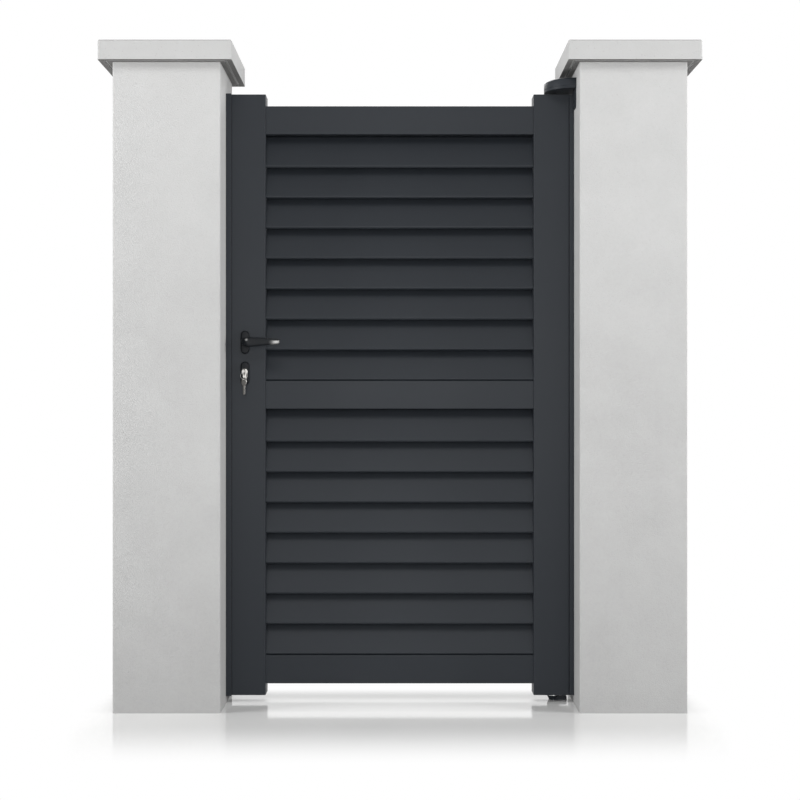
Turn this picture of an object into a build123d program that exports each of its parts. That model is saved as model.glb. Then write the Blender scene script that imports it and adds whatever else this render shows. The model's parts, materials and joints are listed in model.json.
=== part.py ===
"""Aluminium pedestrian gate between two rendered masonry pillars.

Millimetres, +Z up. The origin is on the ground in the middle of the passage, at the pillars'
mid-depth. The street side is -Y. The leaf hangs on the right pillar and opens to +Y.
"""
from build123d import *
import os
from math import asin, atan2, cos, hypot, pi, sin, sqrt

os.makedirs("parts", exist_ok=True)

# Passage and pillars
passage_width = 1000.0
pillar_side = 300.0
pillar_above_leaf = 60.0
pillar_corner_radius = 4.0
cap_height = 55.0
cap_overhang = 35.0
cap_corner_radius = 5.0
cap_top_edge = 3.0
drip_groove_inset = 14.0
drip_groove_width = 8.0
drip_groove_depth = 5.0

# Gate leaf
leaf_front_y = 0.0
leaf_depth = 70.0
leaf_height = 1730.0
ground_gap = 22.0
lock_side_gap = 9.0
hinge_side_gap = 11.0
stile_width = 104.0
stile_wall = 2.5
stile_corner_radius = 3.0
rail_height = 82.0
rail_depth = 50.0
rail_recess = 8.0
rail_wall = 2.2
rail_corner_radius = 2.5
rail_end_setback = 32.0

# Slats, the same in both fields
slats_per_field = 8
slat_recess = 12.0
slat_nose_radius = 5.5
slat_tail_radius = 3.5
slat_lean_depth = 35.0
slat_wall = 1.6
slat_overlap = 7.5

# Plugs that close the stile ends
plug_flange = 3.0
plug_fit = 0.2
plug_depth = 15.0
pivot_plug_depth = 42.0

# Levers, their roses and the spindle
lever_height = 1038.0
lock_backset = 45.0
rose_width = 25.0
rose_height = 67.0
rose_thickness = 10.0
lever_neck_radius = 9.5
lever_neck_fit = 0.05
lever_length = 103.0
lever_hand_gap = 46.5
lever_root_radius = 13.0
lever_shoulder_height = 29.0
lever_shoulder_reach = 16.0
lever_tip_height = 16.0
lever_tip_rise = 4.5
lever_tip_radius = 4.0
lever_grip_thickness = 12.0
spindle_side = 8.0
spindle_socket_depth = 24.0
follower_clearance = 1.5

# Mortice lock in the lock stile
lock_case_thickness = 16.0
lock_case_height = 190.0
lock_case_depth = 68.0
faceplate_width = 24.0
faceplate_height = 240.0
lock_fit = 0.2
bolt_thickness = 12.0
latch_height = 20.0
deadbolt_height = 34.0
bolt_length = 30.0

# Profile cylinder, its plug, the keys and their ring
lever_to_cylinder = 85.0
cylinder_rose_drop = 4.0
cylinder_bow_radius = 8.5
cylinder_tail_width = 10.0
cylinder_height = 33.0
cylinder_projection = 3.0
cylinder_fit = 0.2
plug_radius = 6.5
plug_running_fit = 0.05
key_thickness = 2.2
key_blade_height = 8.0
key_blade_depth = 23.0
key_slot_fit = 0.15
key_bow_length = 24.0
key_bow_height = 19.0
key_bow_gap = 1.5
key_hole_radius = 3.5
key_hole_inset = 6.5
ring_radius = 9.5
ring_band_width = 1.6
ring_seat_gap = 0.4
hanging_key_turn = 17.0

# Strike profile on the left reveal
strike_wall = 2.0
strike_flange_width = 15.2
strike_flange_thickness = 3.0
seal_width = 6.0
seal_height = 6.0
seal_clearance = 5.2
keep_margin = 4.0

# Top hinge and bottom pivot
hinge_axis_from_edge = 42.0
hinge_axis_from_back = 15.0
pin_radius = 8.0
pin_running_fit = 0.05
pin_engagement = 32.0
pin_end_room = 5.0
pin_head_radius = 12.0
pin_head_height = 5.0
hinge_clearance = 5.0
hinge_plate_thickness = 3.0
hinge_plate_drop = 50.0
hinge_plate_corner_radius = 12.0
hinge_shelf_thickness = 7.0
cover_height = 25.0
cover_wall = 2.5
cover_radius = 84.0
cover_center_y = 12.0
cover_edge = 2.0
cover_lip = 2.5
shoe_height = 13.0
shoe_foot_radius = 13.0
shoe_bar_length = 38.0
shoe_bar_width = 26.0
shoe_bar_edge = 3.0
collar_radius = 19.0
collar_top_radius = 17.0
collar_running_gap = 0.3
pin_floor_gap = 3.0

# Places worked out from the sizes above
reveal_x = passage_width / 2
pillar_x = reveal_x + pillar_side / 2
leaf_bottom = ground_gap
leaf_top = leaf_bottom + leaf_height
pillar_height = leaf_top + pillar_above_leaf
leaf_back_y = leaf_front_y + leaf_depth
leaf_mid_y = leaf_front_y + leaf_depth / 2
lock_edge_x = -reveal_x + lock_side_gap
hinge_edge_x = reveal_x - hinge_side_gap
lock_stile_x = lock_edge_x + stile_width / 2
hinge_stile_x = hinge_edge_x - stile_width / 2
stile_bottom = leaf_bottom + plug_flange
stile_length = leaf_height - 2 * plug_flange
infill_left = lock_edge_x + stile_width
infill_length = hinge_edge_x - stile_width - infill_left
rail_mid_y = leaf_front_y + rail_recess + rail_depth / 2
bottom_rail_z = leaf_bottom + rail_end_setback
top_rail_z = leaf_top - rail_end_setback - rail_height
middle_rail_z = (bottom_rail_z + top_rail_z) / 2
field_height = middle_rail_z - bottom_rail_z - rail_height
slat_pitch = (field_height - slat_overlap) / slats_per_field
slat_rise = slat_pitch + slat_overlap
lever_x = lock_edge_x + lock_backset
cylinder_z = lever_height - lever_to_cylinder
lock_case_z = (lever_height + cylinder_z) / 2
hinge_x = hinge_edge_x - hinge_axis_from_edge
hinge_y = leaf_back_y - hinge_axis_from_back
shelf_z = leaf_top + hinge_clearance
cover_z = shelf_z + hinge_shelf_thickness


def finish(part, name):
    """Label a finished piece and write it."""
    part.label = name
    export_step(part, f"parts/{name}.step")


def cylinder_profile(x, z, fit=0.0):
    """Add the cylinder's keyhole outline, a round bow over a narrower tail, to the open sketch."""
    tail_round = cylinder_tail_width / 2
    tail_drop = cylinder_height - cylinder_bow_radius - tail_round
    with Locations((x, z)):
        Circle(cylinder_bow_radius + fit)
    with Locations((x, z - tail_drop / 2)):
        Rectangle(cylinder_tail_width + 2 * fit, tail_drop)
    with Locations((x, z - tail_drop)):
        Circle(tail_round + fit)


def slat_section(inset, nose_y, nose_z, tail_y, tail_z):
    """Give a teardrop's four tangent points and two tips, its round ends smaller by the inset."""
    nose = slat_nose_radius - inset
    tail = slat_tail_radius - inset
    heading = atan2(tail_z - nose_z, tail_y - nose_y)
    spread = asin((nose - tail) / hypot(tail_y - nose_y, tail_z - nose_z))
    front = heading + pi / 2 - spread
    back = heading - pi / 2 + spread
    front_nose = (nose_y + nose * cos(front), nose_z + nose * sin(front))
    front_tail = (tail_y + tail * cos(front), tail_z + tail * sin(front))
    back_nose = (nose_y + nose * cos(back), nose_z + nose * sin(back))
    back_tail = (tail_y + tail * cos(back), tail_z + tail * sin(back))
    nose_tip = (nose_y - nose * cos(heading), nose_z - nose * sin(heading))
    tail_tip = (tail_y + tail * cos(heading), tail_z + tail * sin(heading))
    return front_nose, front_tail, tail_tip, back_tail, back_nose, nose_tip


def cover_outline(inset):
    """Draw a half disc on the right reveal."""
    radius = cover_radius - inset
    Line((reveal_x, cover_center_y + radius), (reveal_x, cover_center_y - radius))
    ThreePointArc(
        (reveal_x, cover_center_y - radius),
        (reveal_x - radius, cover_center_y),
        (reveal_x, cover_center_y + radius),
    )


# Pillars, each under a cap with a drip groove round its underside
cap_side = pillar_side + 2 * cap_overhang
groove_outer = cap_side - 2 * drip_groove_inset
groove_inner = groove_outer - 2 * drip_groove_width
for side, name in ((-1, "left_pillar"), (1, "right_pillar")):
    with BuildPart() as pillar:
        with BuildSketch():
            with Locations((side * pillar_x, 0)):
                RectangleRounded(pillar_side, pillar_side, pillar_corner_radius)
        extrude(amount=pillar_height)
    finish(pillar.part, name)

    with BuildPart() as cap:
        with BuildSketch(Plane.XY.offset(pillar_height)):
            with Locations((side * pillar_x, 0)):
                Rectangle(cap_side, cap_side)
        extrude(amount=cap_height)
        fillet(cap.edges().filter_by(Axis.Z), cap_corner_radius)
        chamfer(cap.faces().sort_by(Axis.Z)[-1].edges(), cap_top_edge)
        with BuildSketch(Plane.XY.offset(pillar_height)):
            with Locations((side * pillar_x, 0)):
                Rectangle(groove_outer, groove_outer)
                Rectangle(groove_inner, groove_inner, mode=Mode.SUBTRACT)
        extrude(amount=drip_groove_depth, mode=Mode.SUBTRACT)
    finish(cap.part, f"{name}_cap")

# Lock stile: hollow extrusion, pierced for the spindle, the cylinder and the lock's faceplate
with BuildPart() as lock_stile:
    with BuildSketch(Plane.XY.offset(stile_bottom)):
        with Locations((lock_stile_x, leaf_mid_y)):
            RectangleRounded(stile_width, leaf_depth, stile_corner_radius)
            Rectangle(stile_width - 2 * stile_wall, leaf_depth - 2 * stile_wall, mode=Mode.SUBTRACT)
    extrude(amount=stile_length)
    with BuildSketch(Plane.XZ.offset(-leaf_back_y)):
        with Locations((lever_x, lever_height)):
            Circle(lever_neck_radius + follower_clearance)
        cylinder_profile(lever_x, cylinder_z, cylinder_fit)
    extrude(amount=leaf_depth, mode=Mode.SUBTRACT)
    with BuildSketch(Plane.YZ.offset(lock_edge_x)):
        with Locations((leaf_mid_y, lock_case_z)):
            Rectangle(faceplate_width + 2 * lock_fit, faceplate_height + 2 * lock_fit)
    extrude(amount=stile_wall, mode=Mode.SUBTRACT)
finish(lock_stile.part, "lock_stile")

# Hinge stile
with BuildPart() as hinge_stile:
    with BuildSketch(Plane.XY.offset(stile_bottom)):
        with Locations((hinge_stile_x, leaf_mid_y)):
            RectangleRounded(stile_width, leaf_depth, stile_corner_radius)
            Rectangle(stile_width - 2 * stile_wall, leaf_depth - 2 * stile_wall, mode=Mode.SUBTRACT)
    extrude(amount=stile_length)
finish(hinge_stile.part, "hinge_stile")

# Plugs in the ends of the lock stile: a flange over the end and a spigot inside it
spigot_width = stile_width - 2 * stile_wall - 2 * plug_fit
spigot_depth = leaf_depth - 2 * stile_wall - 2 * plug_fit
with BuildPart() as lock_stile_plugs:
    for flange_z, spigot_z in (
        (leaf_bottom, stile_bottom),
        (leaf_top - plug_flange, leaf_top - plug_flange - plug_depth),
    ):
        with BuildSketch(Plane.XY.offset(flange_z)):
            with Locations((lock_stile_x, leaf_mid_y)):
                RectangleRounded(stile_width, leaf_depth, stile_corner_radius)
        extrude(amount=plug_flange)
        with BuildSketch(Plane.XY.offset(spigot_z)):
            with Locations((lock_stile_x, leaf_mid_y)):
                Rectangle(spigot_width, spigot_depth)
        extrude(amount=plug_depth)
finish(lock_stile_plugs.part, "lock_stile_plugs")

# Plugs in the ends of the hinge stile, deeper and bored for the pivot pins
bore_depth = pin_engagement + pin_end_room
for name, flange_z, spigot_z, bore_z in (
    ("bottom_pivot_plug", leaf_bottom, stile_bottom, leaf_bottom),
    (
        "top_pivot_plug",
        leaf_top - plug_flange,
        leaf_top - plug_flange - pivot_plug_depth,
        leaf_top - bore_depth,
    ),
):
    with BuildPart() as pivot_plug:
        with BuildSketch(Plane.XY.offset(flange_z)):
            with Locations((hinge_stile_x, leaf_mid_y)):
                RectangleRounded(stile_width, leaf_depth, stile_corner_radius)
        extrude(amount=plug_flange)
        with BuildSketch(Plane.XY.offset(spigot_z)):
            with Locations((hinge_stile_x, leaf_mid_y)):
                Rectangle(spigot_width, spigot_depth)
        extrude(amount=pivot_plug_depth)
        with BuildSketch(Plane.XY.offset(bore_z)):
            with Locations((hinge_x, hinge_y)):
                Circle(pin_radius + pin_running_fit)
        extrude(amount=bore_depth, mode=Mode.SUBTRACT)
    finish(pivot_plug.part, name)

# Rails between the stiles
for name, rail_z in (
    ("top_rail", top_rail_z),
    ("middle_rail", middle_rail_z),
    ("bottom_rail", bottom_rail_z),
):
    with BuildPart() as rail:
        with BuildSketch(Plane.YZ.offset(infill_left)):
            with Locations((rail_mid_y, rail_z + rail_height / 2)):
                RectangleRounded(rail_depth, rail_height, rail_corner_radius)
                Rectangle(rail_depth - 2 * rail_wall, rail_height - 2 * rail_wall, mode=Mode.SUBTRACT)
        extrude(amount=infill_length)
    finish(rail.part, name)

# Slats: slanted hollow teardrops, lower edge to the street, each lapping the one below
for field, field_z in (
    ("upper", middle_rail_z + rail_height),
    ("lower", bottom_rail_z + rail_height),
):
    for index in range(slats_per_field):
        slat_z = field_z + (slats_per_field - 1 - index) * slat_pitch
        nose_y = leaf_front_y + slat_recess + slat_nose_radius
        nose_z = slat_z + slat_nose_radius
        tail_y = nose_y + slat_lean_depth
        tail_z = slat_z + slat_rise - slat_tail_radius
        front_nose, front_tail, tail_tip, back_tail, back_nose, nose_tip = slat_section(
            0, nose_y, nose_z, tail_y, tail_z
        )
        hollow = slat_section(slat_wall, nose_y, nose_z, tail_y, tail_z)
        with BuildPart() as slat:
            with BuildSketch(Plane.YZ.offset(infill_left)):
                with BuildLine():
                    Line(front_nose, front_tail)
                    ThreePointArc(front_tail, tail_tip, back_tail)
                    Line(back_tail, back_nose)
                    ThreePointArc(back_nose, nose_tip, front_nose)
                make_face()
                with BuildLine():
                    Polyline(hollow[0], hollow[1], hollow[3], hollow[4], close=True)
                make_face(mode=Mode.SUBTRACT)
            extrude(amount=infill_length)
        finish(slat.part, f"{field}_slat_{index + 1}")

# Mortice lock: faceplate let into the stile's edge, and the case behind it
with BuildPart() as lock_case:
    with BuildSketch(Plane.YZ.offset(lock_edge_x)):
        with Locations((leaf_mid_y, lock_case_z)):
            Rectangle(faceplate_width, faceplate_height)
    extrude(amount=stile_wall)
    with BuildSketch(Plane.YZ.offset(lock_edge_x + stile_wall)):
        with Locations((leaf_mid_y, lock_case_z)):
            Rectangle(lock_case_thickness, lock_case_height)
    extrude(amount=lock_case_depth)
    with BuildSketch(Plane.YZ.offset(lock_edge_x)):
        with Locations((leaf_mid_y, lever_height)):
            Rectangle(bolt_thickness + 2 * lock_fit, latch_height + 2 * lock_fit)
        with Locations((leaf_mid_y, cylinder_z)):
            Rectangle(bolt_thickness + 2 * lock_fit, deadbolt_height + 2 * lock_fit)
    extrude(amount=bolt_length, mode=Mode.SUBTRACT)
    with BuildSketch(Plane.XZ.offset(-leaf_back_y)):
        with Locations((lever_x, lever_height)):
            Circle(spindle_side / sqrt(2) + follower_clearance)
        cylinder_profile(lever_x, cylinder_z, cylinder_fit)
    extrude(amount=leaf_depth, mode=Mode.SUBTRACT)
finish(lock_case.part, "lock_case")

# Latch and deadbolt, both drawn back flush with the faceplate
with BuildPart() as lock_bolts:
    with BuildSketch(Plane.YZ.offset(lock_edge_x)):
        with Locations((leaf_mid_y, lever_height)):
            Rectangle(bolt_thickness, latch_height)
        with Locations((leaf_mid_y, cylinder_z)):
            Rectangle(bolt_thickness, deadbolt_height)
    extrude(amount=bolt_length)
finish(lock_bolts.part, "lock_bolts")

# Both faces of the stile carry an oval handle rose, a lever and an oval cylinder rose
grip_tip = lever_x + lever_length
shoulder_x = lever_x + lever_shoulder_reach
for face, face_y, turn in (("front", leaf_front_y, 1), ("back", leaf_back_y, -1)):
    face_plane = Plane(origin=(0, face_y, 0), x_dir=(turn, 0, 0), z_dir=(0, -turn, 0))
    axis_x = turn * lever_x
    tip_group = -1 if turn > 0 else 0
    with BuildPart() as handle_rose:
        with BuildSketch(face_plane):
            with Locations((axis_x, lever_height)):
                SlotOverall(rose_height, rose_width, rotation=90)
        extrude(amount=rose_thickness)
        with BuildSketch(face_plane):
            with Locations((axis_x, lever_height)):
                Circle(lever_neck_radius + lever_neck_fit)
        extrude(amount=rose_thickness, mode=Mode.SUBTRACT)
    finish(handle_rose.part, f"{face}_handle_rose")

    with BuildPart() as cylinder_rose:
        with BuildSketch(face_plane):
            with Locations((axis_x, cylinder_z - cylinder_rose_drop)):
                SlotOverall(rose_height, rose_width, rotation=90)
        extrude(amount=rose_thickness)
        with BuildSketch(face_plane):
            cylinder_profile(axis_x, cylinder_z, cylinder_fit)
        extrude(amount=rose_thickness, mode=Mode.SUBTRACT)
    finish(cylinder_rose.part, f"{face}_cylinder_rose")

    # Lever: a grip that widens from its round root to a shoulder and tapers from below to its tip,
    # on a neck with a square socket for the spindle
    with BuildPart() as lever:
        with BuildSketch(face_plane.offset(lever_hand_gap)) as grip:
            with BuildLine():
                Polyline(
                    (axis_x, lever_height + lever_root_radius),
                    (turn * shoulder_x, lever_height + lever_shoulder_height / 2),
                    (turn * grip_tip, lever_height + lever_tip_rise + lever_tip_height / 2),
                    (turn * grip_tip, lever_height + lever_tip_rise - lever_tip_height / 2),
                    (turn * shoulder_x, lever_height - lever_shoulder_height / 2),
                    (axis_x, lever_height - lever_root_radius),
                )
                ThreePointArc(
                    (axis_x, lever_height - lever_root_radius),
                    (axis_x - turn * lever_root_radius, lever_height),
                    (axis_x, lever_height + lever_root_radius),
                )
            make_face()
            fillet(grip.vertices().group_by(Axis.X)[tip_group], lever_tip_radius)
        extrude(amount=lever_grip_thickness)
        with BuildSketch(face_plane):
            with Locations((axis_x, lever_height)):
                Circle(lever_neck_radius)
        extrude(amount=lever_hand_gap)
        with BuildSketch(face_plane):
            with Locations((axis_x, lever_height)):
                Rectangle(spindle_side, spindle_side)
        extrude(amount=spindle_socket_depth, mode=Mode.SUBTRACT)
    finish(lever.part, f"{face}_lever")

# Spindle: a square bar from socket to socket
with BuildPart() as spindle:
    with BuildSketch(Plane.XZ.offset(-leaf_back_y - spindle_socket_depth)):
        with Locations((lever_x, lever_height)):
            Rectangle(spindle_side, spindle_side)
    extrude(amount=leaf_depth + 2 * spindle_socket_depth)
finish(spindle.part, "spindle")

# Profile cylinder, bored from the street side for its turning plug, slotted for a key behind
cylinder_front_y = leaf_front_y - rose_thickness - cylinder_projection
cylinder_back_y = leaf_back_y + rose_thickness + cylinder_projection
key_slot_depth = key_blade_depth + key_slot_fit
key_plug_length = key_slot_depth + key_bow_gap
slot_width = key_thickness + 2 * key_slot_fit
slot_height = key_blade_height + 2 * key_slot_fit
with BuildPart() as lock_cylinder:
    with BuildSketch(Plane.XZ.offset(-cylinder_back_y)):
        cylinder_profile(lever_x, cylinder_z)
    extrude(amount=cylinder_back_y - cylinder_front_y)
    with BuildSketch(Plane.XZ.offset(-cylinder_front_y - key_plug_length)):
        with Locations((lever_x, cylinder_z)):
            Circle(plug_radius + plug_running_fit)
    extrude(amount=key_plug_length, mode=Mode.SUBTRACT)
    with BuildSketch(Plane.XZ.offset(-cylinder_back_y)):
        with Locations((lever_x, cylinder_z)):
            Rectangle(slot_width, slot_height)
    extrude(amount=key_slot_depth, mode=Mode.SUBTRACT)
finish(lock_cylinder.part, "lock_cylinder")

with BuildPart() as cylinder_plug:
    with BuildSketch(Plane.XZ.offset(-cylinder_front_y - key_plug_length + plug_running_fit)):
        with Locations((lever_x, cylinder_z)):
            Circle(plug_radius)
    extrude(amount=key_plug_length - plug_running_fit)
    with BuildSketch(Plane.XZ.offset(-cylinder_front_y - key_slot_depth)):
        with Locations((lever_x, cylinder_z)):
            Rectangle(slot_width, slot_height)
    extrude(amount=key_slot_depth, mode=Mode.SUBTRACT)
finish(cylinder_plug.part, "cylinder_plug")

# Keys: the first in the plug, the second hanging on the ring that passes through both bows
bow_center = key_bow_length / 2 - key_hole_inset
blade_start = key_bow_length - key_hole_inset - key_bow_gap
blade_length = key_blade_depth + 2 * key_bow_gap
hole_y = cylinder_front_y - key_bow_gap - key_bow_length + key_hole_inset
ring_drop = key_hole_radius - ring_seat_gap - ring_band_width / 2
ring_z = cylinder_z - ring_drop - ring_radius
hanging_hole_z = ring_z - ring_radius - ring_drop
key_plane = Plane(origin=(lever_x, hole_y, cylinder_z), x_dir=(0, 1, 0), z_dir=(1, 0, 0))
hanging_turn = hanging_key_turn * pi / 180
hanging_plane = Plane(
    origin=(lever_x, hole_y, hanging_hole_z),
    x_dir=(0, 0, -1),
    z_dir=(cos(hanging_turn), sin(hanging_turn), 0),
)
for name, plane in (("key", key_plane), ("hanging_key", hanging_plane)):
    with BuildPart() as key:
        with BuildSketch(plane):
            with Locations((bow_center, 0)):
                SlotOverall(key_bow_length, key_bow_height)
            with Locations((blade_start + blade_length / 2, 0)):
                Rectangle(blade_length, key_blade_height)
            Circle(key_hole_radius, mode=Mode.SUBTRACT)
        extrude(amount=key_thickness / 2, both=True)
    finish(key.part, name)

with BuildPart() as key_ring:
    with BuildSketch(Plane.XZ.offset(-hole_y - ring_band_width / 2)):
        with Locations((lever_x, ring_z)):
            Circle(ring_radius + ring_band_width / 2)
            Circle(ring_radius - ring_band_width / 2, mode=Mode.SUBTRACT)
    extrude(amount=ring_band_width)
finish(key_ring.part, "key_ring")

# Strike profile: a leg on the left reveal and a flange in front of the leaf, with keep cut-outs
flange_back_y = leaf_front_y - seal_clearance - seal_height
flange_front_y = flange_back_y - strike_flange_thickness
with BuildPart() as strike_profile:
    with BuildSketch(Plane.XY.offset(leaf_bottom)):
        with Locations((-reveal_x, flange_front_y)):
            Rectangle(strike_wall, leaf_back_y - flange_front_y, align=(Align.MIN, Align.MIN))
            Rectangle(strike_flange_width, strike_flange_thickness, align=(Align.MIN, Align.MIN))
    extrude(amount=leaf_height)
    with BuildSketch(Plane.YZ.offset(-reveal_x)):
        with Locations((leaf_mid_y, lever_height)):
            Rectangle(bolt_thickness + 2 * keep_margin, latch_height + 2 * keep_margin)
        with Locations((leaf_mid_y, cylinder_z)):
            Rectangle(bolt_thickness + 2 * keep_margin, deadbolt_height + 2 * keep_margin)
    extrude(amount=strike_wall, mode=Mode.SUBTRACT)
finish(strike_profile.part, "strike_profile")

# Seal bead with a flat foot on the back of the flange
seal_x = -reveal_x + strike_flange_width - seal_width / 2
with BuildPart() as strike_seal:
    with BuildSketch(Plane.XY.offset(leaf_bottom)):
        with Locations((seal_x, flange_back_y)):
            Rectangle(seal_width, seal_height - seal_width / 2, align=(Align.CENTER, Align.MIN))
        with Locations((seal_x, flange_back_y + seal_height - seal_width / 2)):
            Circle(seal_width / 2)
    extrude(amount=leaf_height)
finish(strike_seal.part, "strike_seal")

# Top hinge bracket: a plate on the right reveal and a half-disc shelf that carries the pin
plate_half_width = cover_radius - 2 * cover_lip
plate_bottom = leaf_top - hinge_plate_drop
plate_height = cover_z + cover_height - cover_wall - plate_bottom
with BuildPart() as hinge_bracket:
    with BuildSketch(Plane.YZ.offset(reveal_x - hinge_plate_thickness)):
        with Locations((cover_center_y, plate_bottom + plate_height / 2)):
            Rectangle(2 * plate_half_width, plate_height)
    extrude(amount=hinge_plate_thickness)
    lower_edges = hinge_bracket.edges().filter_by(Axis.X).group_by(Axis.Z)[0]
    fillet(lower_edges, hinge_plate_corner_radius)
    with BuildSketch(Plane.XY.offset(shelf_z)):
        with BuildLine():
            cover_outline(cover_lip)
        make_face()
    extrude(amount=hinge_shelf_thickness)
    with BuildSketch(Plane.XY.offset(shelf_z)):
        with Locations((hinge_x, hinge_y)):
            Circle(pin_radius + pin_running_fit)
    extrude(amount=hinge_shelf_thickness, mode=Mode.SUBTRACT)
finish(hinge_bracket.part, "hinge_bracket")

with BuildPart() as hinge_pin:
    with BuildSketch(Plane.XY.offset(leaf_top - pin_engagement)):
        with Locations((hinge_x, hinge_y)):
            Circle(pin_radius)
    extrude(amount=cover_z - leaf_top + pin_engagement)
    with BuildSketch(Plane.XY.offset(cover_z)):
        with Locations((hinge_x, hinge_y)):
            Circle(pin_head_radius)
    extrude(amount=pin_head_height)
finish(hinge_pin.part, "hinge_pin")

# Hinge cover: a half-disc lid, hollow below, open against the reveal
with BuildPart() as hinge_cover:
    with BuildSketch(Plane.XY.offset(cover_z)):
        with BuildLine():
            cover_outline(0)
        make_face()
    extrude(amount=cover_height)
    top_rim = hinge_cover.faces().sort_by(Axis.Z)[-1].edges().sort_by(Axis.X)[:-1]
    chamfer(top_rim, cover_edge)
    with BuildSketch(Plane.XY.offset(cover_z)):
        with BuildLine():
            cover_outline(cover_wall)
        make_face()
    extrude(amount=cover_height - cover_wall, mode=Mode.SUBTRACT)
finish(hinge_cover.part, "hinge_cover")

# Pivot shoe: a cone that widens from its foot, with a bar towards the reveal, bored for the pin
with BuildPart() as pivot_shoe:
    with BuildSketch():
        with Locations((hinge_x, hinge_y)):
            Rectangle(shoe_bar_length, shoe_bar_width, align=(Align.MIN, Align.CENTER))
    extrude(amount=shoe_height)
    bar_end = pivot_shoe.faces().sort_by(Axis.X)[-1].edges()
    chamfer(bar_end.sort_by(Axis.Z)[1:], shoe_bar_edge)
    with BuildSketch(Plane.XZ.offset(-hinge_y)):
        with BuildLine():
            Polyline(
                (hinge_x, 0),
                (hinge_x + shoe_foot_radius, 0),
                (hinge_x + collar_radius, shoe_height),
                (hinge_x, shoe_height),
                close=True,
            )
        make_face()
    revolve(axis=Axis((hinge_x, hinge_y, 0), (0, 0, 1)))
    with BuildSketch():
        with Locations((hinge_x, hinge_y)):
            Circle(pin_radius + pin_running_fit)
    extrude(amount=shoe_height, mode=Mode.SUBTRACT)
finish(pivot_shoe.part, "pivot_shoe")

# Pivot pin with the tapered collar that carries the leaf
collar_top = leaf_bottom - collar_running_gap
with BuildPart() as pivot_pin:
    with BuildSketch(Plane.XY.offset(pin_floor_gap)):
        with Locations((hinge_x, hinge_y)):
            Circle(pin_radius)
    extrude(amount=leaf_bottom + pin_engagement - pin_floor_gap)
    with BuildSketch(Plane.XZ.offset(-hinge_y)):
        with BuildLine():
            Polyline(
                (hinge_x, shoe_height),
                (hinge_x + collar_radius, shoe_height),
                (hinge_x + collar_top_radius, collar_top),
                (hinge_x, collar_top),
                close=True,
            )
        make_face()
    revolve(axis=Axis((hinge_x, hinge_y, 0), (0, 0, 1)))
finish(pivot_pin.part, "pivot_pin")
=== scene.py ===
# %% [markdown]
# # Louvred pedestrian gate between two rendered pillars
# The frame below is the gate's solid model, with every bar, slat and lock part at its real size.
# This script gives it its finishes. It puts softly formed pieces in the place of the plain levers,
# roses, ring, keys and hinge cover, and it adds the screws and a slim trim beside the hinge stile.
# All lengths are metres, z = 0 is the ground, and the street is towards -y.

# %% Load the frame and keep its box
import json

import bpy
import numpy as np
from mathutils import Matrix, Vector


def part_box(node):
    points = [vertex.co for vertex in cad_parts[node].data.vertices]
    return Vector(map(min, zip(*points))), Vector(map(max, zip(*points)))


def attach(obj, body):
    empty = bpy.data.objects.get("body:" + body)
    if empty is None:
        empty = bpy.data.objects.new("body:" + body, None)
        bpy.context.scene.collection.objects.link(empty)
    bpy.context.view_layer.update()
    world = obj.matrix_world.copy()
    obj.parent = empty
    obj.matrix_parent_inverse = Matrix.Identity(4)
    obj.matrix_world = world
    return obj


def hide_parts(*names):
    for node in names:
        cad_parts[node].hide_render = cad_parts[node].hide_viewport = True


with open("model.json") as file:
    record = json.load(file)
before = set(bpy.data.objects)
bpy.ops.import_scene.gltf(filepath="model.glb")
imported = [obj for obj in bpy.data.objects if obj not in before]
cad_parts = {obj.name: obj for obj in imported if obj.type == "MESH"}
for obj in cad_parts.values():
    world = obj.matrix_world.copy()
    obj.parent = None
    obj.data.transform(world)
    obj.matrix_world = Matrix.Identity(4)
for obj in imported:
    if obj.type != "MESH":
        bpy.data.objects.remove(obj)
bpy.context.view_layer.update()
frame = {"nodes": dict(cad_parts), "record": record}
scene = bpy.context.scene
nodes = frame["nodes"]
slot_of = {part["node"]: part["material_slot"] for part in frame["record"]["subparts"]}

# %% [markdown]
# ## Writing shader maths as ordinary sums
# A material is a net of small nodes. Adding a Math node by hand for every plus and times is slow to
# write and hard to read, so a small class wraps a socket and lets Python's own operators add the
# nodes. A second class is a whole net, and each other node in it comes from a single method. A third
# class is the net of one material, with the few patterns that the gate's finishes are made of.

# %% A socket that understands sums
class Wire:
    """One output of a node. A sum with it adds the Math node that works it out."""

    def __init__(self, net, socket):
        self.net = net
        self.socket = socket

    def math(self, operation, first, second=0.0, clamp=False):
        settings = {"operation": operation, "use_clamp": clamp}
        return self.net.node("Math", settings, {0: first, 1: second})

    def __add__(self, other):
        return self.math("ADD", self, other)

    def __radd__(self, other):
        return self.math("ADD", other, self)

    def __sub__(self, other):
        return self.math("SUBTRACT", self, other)

    def __rsub__(self, other):
        return self.math("SUBTRACT", other, self)

    def __mul__(self, other):
        return self.math("MULTIPLY", self, other)

    def __rmul__(self, other):
        return self.math("MULTIPLY", other, self)

    def __abs__(self):
        return self.math("ABSOLUTE", self)

    def clamped(self):
        """The same value, kept between 0 and 1."""
        return self.math("ADD", self, 0.0, clamp=True)


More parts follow.
